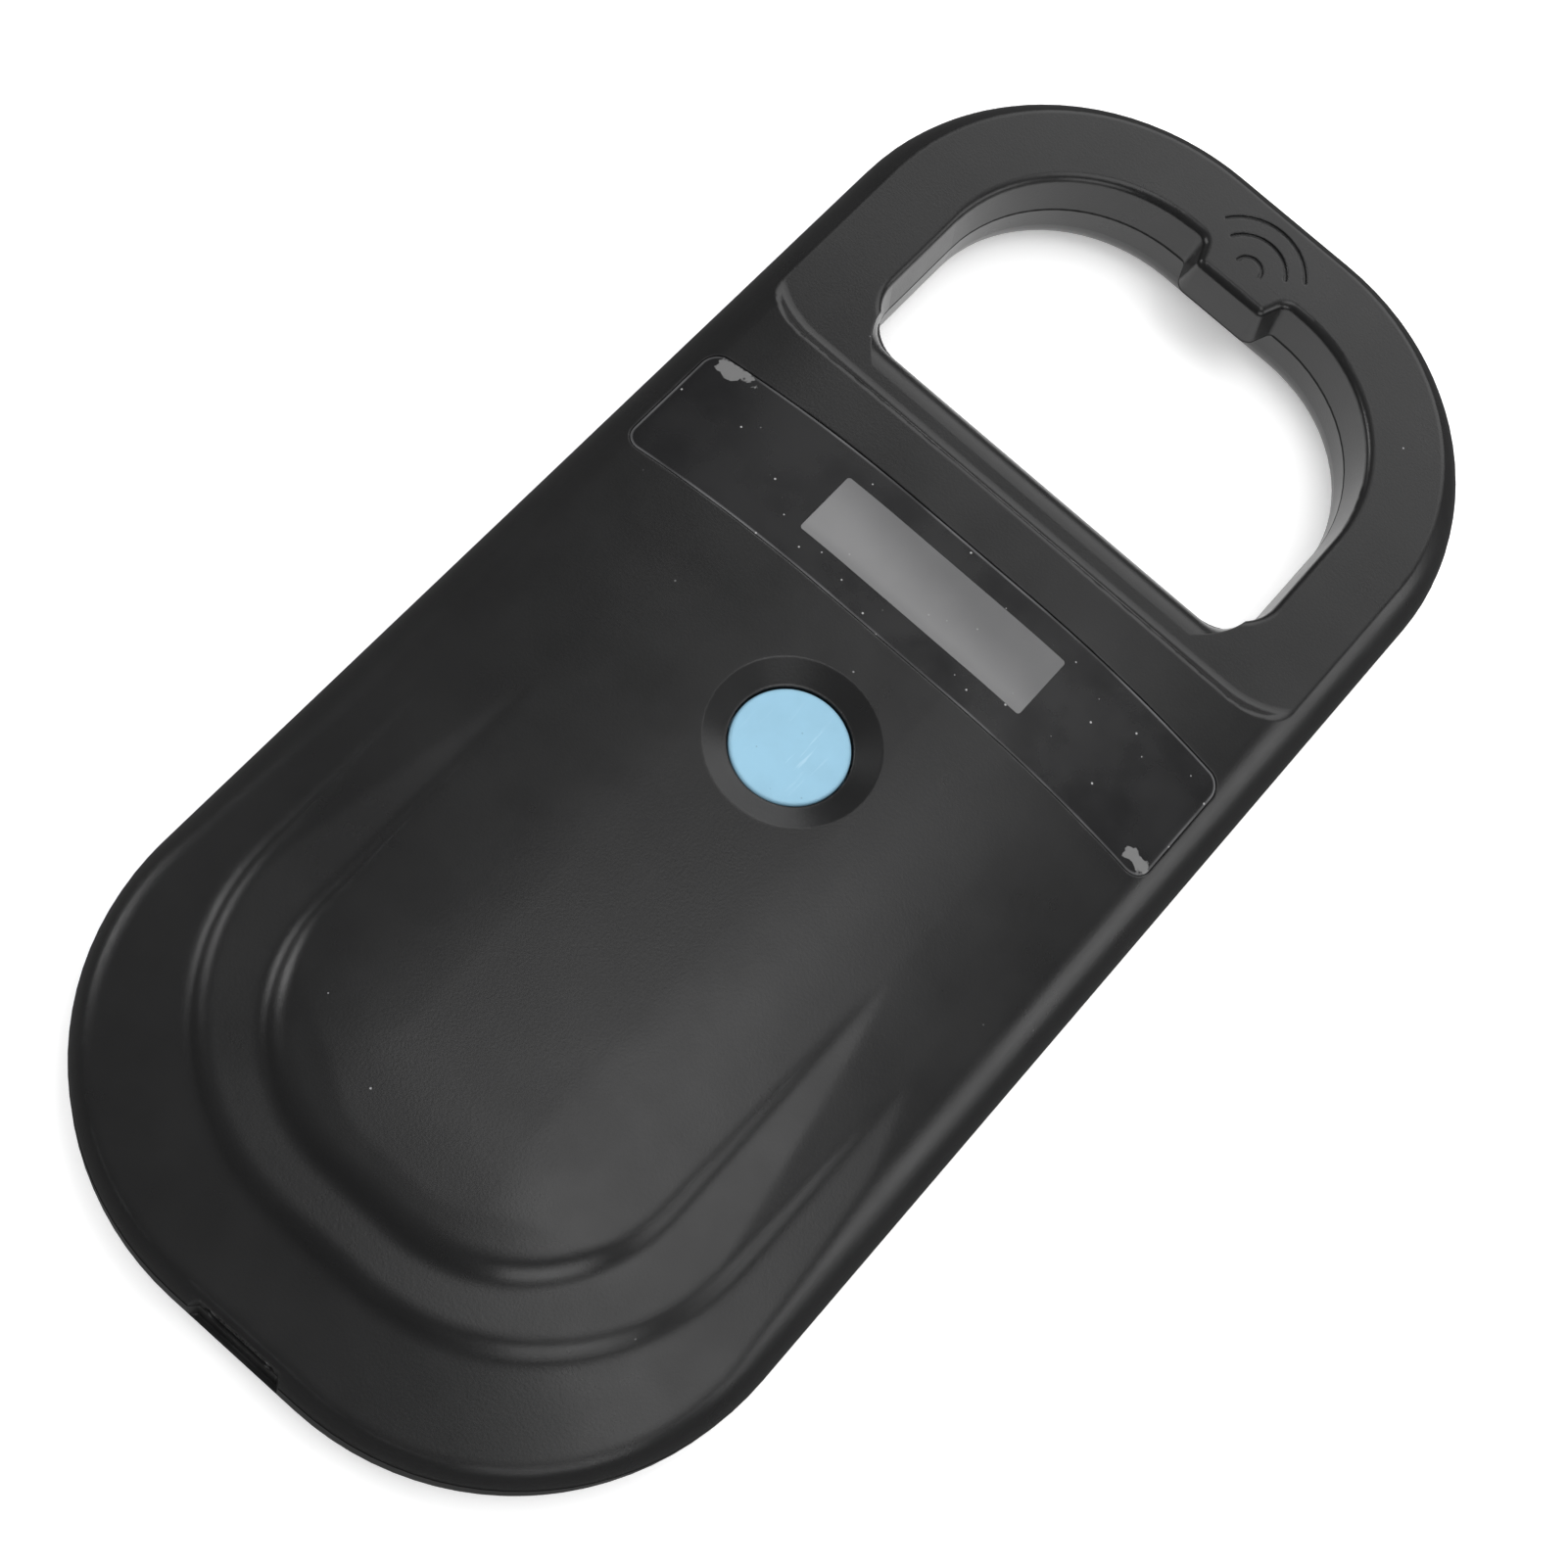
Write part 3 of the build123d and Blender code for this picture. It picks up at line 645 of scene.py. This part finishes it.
@dataclass(frozen=True)
class PushButton(Assembly):
    """The cap and its tactile switch."""

    radius: float = 6.15 * MM

    def finishes(self) -> dict[str, Finish]:
        """Chooses the finishes.

        Returns:
            The finish of each part by the name of its node.
        """
        low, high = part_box("button_cap")
        return {
            "button_cap": ButtonPlastic("button_blue", tuple((low + high) / 2), self.radius),
            "switch_plunger": MouldedPlastic("switch_stem", (0.6, 0.12, 0.1)),
            "switch_body": MouldedPlastic("switch_black", (0.05, 0.05, 0.05)),
        }


@dataclass(frozen=True)
class MainBoard(Assembly):
    """The circuit board and everything soldered to it."""

    mask: Colour = (0.015, 0.13, 0.05)
    run: Colour = (0.06, 0.26, 0.09)

    def finishes(self) -> dict[str, Finish]:
        """Chooses the finishes.

        Returns:
            The finish of each part by the name of its node.
        """
        drawn = MetalGrain.DRAWN
        return {
            "main_board": SolderMask("board_green", self.mask, self.run),
            "controller_chip": MouldedPlastic("chip_black", (0.03, 0.03, 0.03)),
            "reader_chip": MouldedPlastic("chip_dark", (0.035, 0.035, 0.035)),
            "power_inductor": MouldedPlastic("inductor_grey", (0.12, 0.12, 0.12), 0.6, mottle=0.3),
            "buzzer": MouldedPlastic("buzzer_black", (0.04, 0.04, 0.04)),
            "battery_header": MouldedPlastic("header_white", (0.82, 0.81, 0.76)),
            "battery_plug": MouldedPlastic("plug_white", (0.8, 0.79, 0.74)),
            "crystal_can": Metal("can_metal", (0.7, 0.7, 0.7), (0.5, 0.5, 0.48), drawn),
            "capacitors": Metal("capacitor_can", (0.66, 0.66, 0.68), (0.5, 0.5, 0.5), drawn),
        }


@dataclass(frozen=True)
class Battery(Assembly):
    """The pouch cell, its foam pad and its leads."""

    pore: float = 0.6 * MM
    pore_depth: float = 0.12 * MM

    def finishes(self) -> dict[str, Finish]:
        """Chooses the finishes.

        Returns:
            The finish of each part by the name of its node.
        """
        return {
            "battery_cell": Metal("cell_foil", (0.6, 0.61, 0.63), (0.48, 0.49, 0.5),
                                  roughness=0.38),
            "battery_pad": MouldedPlastic("foam_grey", (0.2, 0.2, 0.2), 0.85, self.pore,
                                          self.pore_depth, 0.35),
            "battery_leads": MouldedPlastic("wire_red", (0.6, 0.04, 0.03), 0.4),
        }


@dataclass(frozen=True)
class Antenna(Assembly):
    """The coil on its former and its two leads."""

    copper: Colour = (0.72, 0.33, 0.14)
    dark_copper: Colour = (0.5, 0.2, 0.08)

    def finishes(self) -> dict[str, Finish]:
        """Chooses the finishes.

        Returns:
            The finish of each part by the name of its node.
        """
        drawn = MetalGrain.DRAWN
        return {
            "antenna_coil": Metal("coil_copper", self.copper, self.dark_copper, drawn),
            "coil_leads": Metal("wire_copper", self.copper, self.dark_copper, drawn),
            "coil_former": MouldedPlastic("former_white", (0.75, 0.75, 0.72)),
        }


@dataclass(frozen=True)
class ChargingPort(Assembly):
    """The charging board with its socket and leads."""

    mask: Colour = (0.015, 0.12, 0.05)
    run: Colour = (0.06, 0.24, 0.09)

    def finishes(self) -> dict[str, Finish]:
        """Chooses the finishes.

        Returns:
            The finish of each part by the name of its node.
        """
        return {
            "charge_board": SolderMask("charge_green", self.mask, self.run),
            "usb_shell": Metal("socket_metal", (0.72, 0.72, 0.72), (0.5, 0.5, 0.48),
                               MetalGrain.DRAWN),
            "usb_tongue": MouldedPlastic("tongue_black", (0.05, 0.05, 0.05)),
            "charge_leads": MouldedPlastic("wire_black", (0.04, 0.04, 0.04), 0.4),
        }


@dataclass(frozen=True)
class Fasteners(Assembly):
    """The three kinds of screws."""

    zinc: Colour = (0.6, 0.6, 0.6)
    dull_zinc: Colour = (0.42, 0.42, 0.4)

    def finishes(self) -> dict[str, Finish]:
        """Chooses the finishes.

        Returns:
            The finish of each part by the name of its node.
        """
        turned = MetalGrain.TURNED
        return {
            "case_screws": Metal("screw_black", (0.10, 0.10, 0.105), (0.05, 0.05, 0.05), turned,
                                 0.42),
            "board_screws": Metal("screw_zinc", self.zinc, self.dull_zinc, turned),
            "charge_screws": Metal("screw_small", self.zinc, self.dull_zinc, turned),
        }


# ------------------------------------------------------------------ studio

@dataclass(frozen=True)
class SoftBox:
    """A rectangular soft light that faces the object; `up` is the way its height runs."""

    name: str
    place: Colour
    width: float
    height: float
    radiance: float
    up: Colour = (0.0, 0.0, 1.0)
    in_reflections: bool = True

    def build(self) -> None:
        """Adds the light."""
        lamp = bpy.data.lights.new(self.name, "AREA")
        lamp.shape = "RECTANGLE"
        lamp.size, lamp.size_y = self.width, self.height
        lamp.energy = self.radiance * 4.0 * self.width * self.height
        holder = bpy.data.objects.new(self.name, lamp)
        back = Vector(self.place).normalized()
        across = Vector(self.up).cross(back).normalized()
        turn = Matrix((across, back.cross(across), back)).transposed()
        holder.matrix_world = Matrix.Translation(Vector(self.place)) @ turn.to_4x4()
        holder.visible_glossy = self.in_reflections
        bpy.context.scene.collection.objects.link(holder)


@dataclass(frozen=True)
class Studio:
    """White table, soft lights and the camera."""

    floor_size: float = 6.0
    card_low: tuple[float, float] = (-0.030, 0.030)
    card_high: tuple[float, float] = (0.032, 0.080)
    sky: float = 0.11
    camera_at: Colour = (0.030716, -0.130267, 0.293600)
    camera_right: Colour = (0.75080, 0.63097, 0.19538)
    camera_up: Colour = (-0.65376, 0.66761, 0.35622)
    lens: float = 71.955
    lights: tuple[SoftBox, ...] = (
        SoftBox("table_fill", (0.0, -0.1, 1.6), 2.4, 2.4, 1.35, (0.0, 1.0, 0.0), False),
        SoftBox("key_strip", (0.19, 0.10, 0.97), 0.38, 0.68, 1.75, (-0.65, 0.67, 0.36)),
        SoftBox("rear_box", (-0.08, 0.90, 0.60), 1.10, 0.84, 1.25),
        SoftBox("left_box", (-0.88, -0.12, 0.44), 0.32, 0.28, 5.0),
        SoftBox("right_box", (0.90, 0.34, 0.30), 0.80, 0.50, 1.5),
        SoftBox("front_box", (0.80, -0.60, 0.32), 0.60, 0.45, 2.0),
    )

    def sheet(self, name: str, low: tuple[float, float], high: tuple[float, float],
              height: float) -> bpy.types.Object:
        """Adds a flat sheet of paper.

        Args:
            name: Name of the sheet.
            low: Its lowest X and Y.
            high: Its highest X and Y.
            height: Its Z.

        Returns:
            The new object.
        """
        mesh = bpy.data.meshes.new(name)
        shape = bmesh.new()
        size = ((high[0] - low[0]) / 2, (high[1] - low[1]) / 2)
        place = Matrix.Translation((low[0] + size[0], low[1] + size[1], height))
        bmesh.ops.create_grid(shape, x_segments=1, y_segments=1, size=1.0,
                              matrix=place @ Matrix.Diagonal((*size, 1.0, 1.0)))
        shape.to_mesh(mesh)
        shape.free()
        mesh.materials.append(PaleFloor().build())
        made = bpy.data.objects.new(name, mesh)
        bpy.context.scene.collection.objects.link(made)
        return made

    def floor(self) -> None:
        """Adds the table, and the bounce card that the walls reflect in its place."""
        reach = self.floor_size / 2
        table = self.sheet("table", (-reach, -reach), (reach, reach), 0.0)
        table.visible_glossy = False
        card = self.sheet("bounce_card", self.card_low, self.card_high, 0.05 * MM)
        card.visible_camera = card.visible_diffuse = card.visible_shadow = False

    def world(self) -> None:
        """Adds the faint light of the room."""
        room = bpy.data.worlds.new("room")
        room.use_nodes = True
        background = room.node_tree.nodes["Background"]
        background.inputs["Color"].default_value = (1.0, 1.0, 1.0, 1.0)
        background.inputs["Strength"].default_value = self.sky
        bpy.context.scene.world = room

    def camera(self) -> None:
        """Adds the camera."""
        lens = bpy.data.cameras.new("camera")
        lens.sensor_width = 36.0
        lens.lens = self.lens
        lens.clip_start, lens.clip_end = 0.01, 20.0
        right, up = Vector(self.camera_right), Vector(self.camera_up)
        turn = Matrix((right, up, right.cross(up))).transposed()
        holder = bpy.data.objects.new("camera", lens)
        holder.matrix_world = Matrix.Translation(Vector(self.camera_at)) @ turn.to_4x4()
        bpy.context.scene.collection.objects.link(holder)
        bpy.context.scene.camera = holder

    def build(self) -> None:
        """Adds everything around the object."""
        bpy.context.scene.view_settings.view_transform = "Standard"
        self.floor()
        self.world()
        for light in self.lights:
            light.build()
        self.camera()
        LOG.info("studio with %d lights", len(self.lights))


def main() -> None:
    """Builds the sub-assemblies and the studio."""
    logging.basicConfig(level=logging.INFO, format="%(message)s")
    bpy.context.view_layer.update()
    parts = (CaseShells(), Display(), PushButton(), MainBoard(), Battery(), Antenna(),
             ChargingPort(), Fasteners())
    for part in parts:
        part.build()
    Studio().build()


if __name__ == "__main__":
    main()
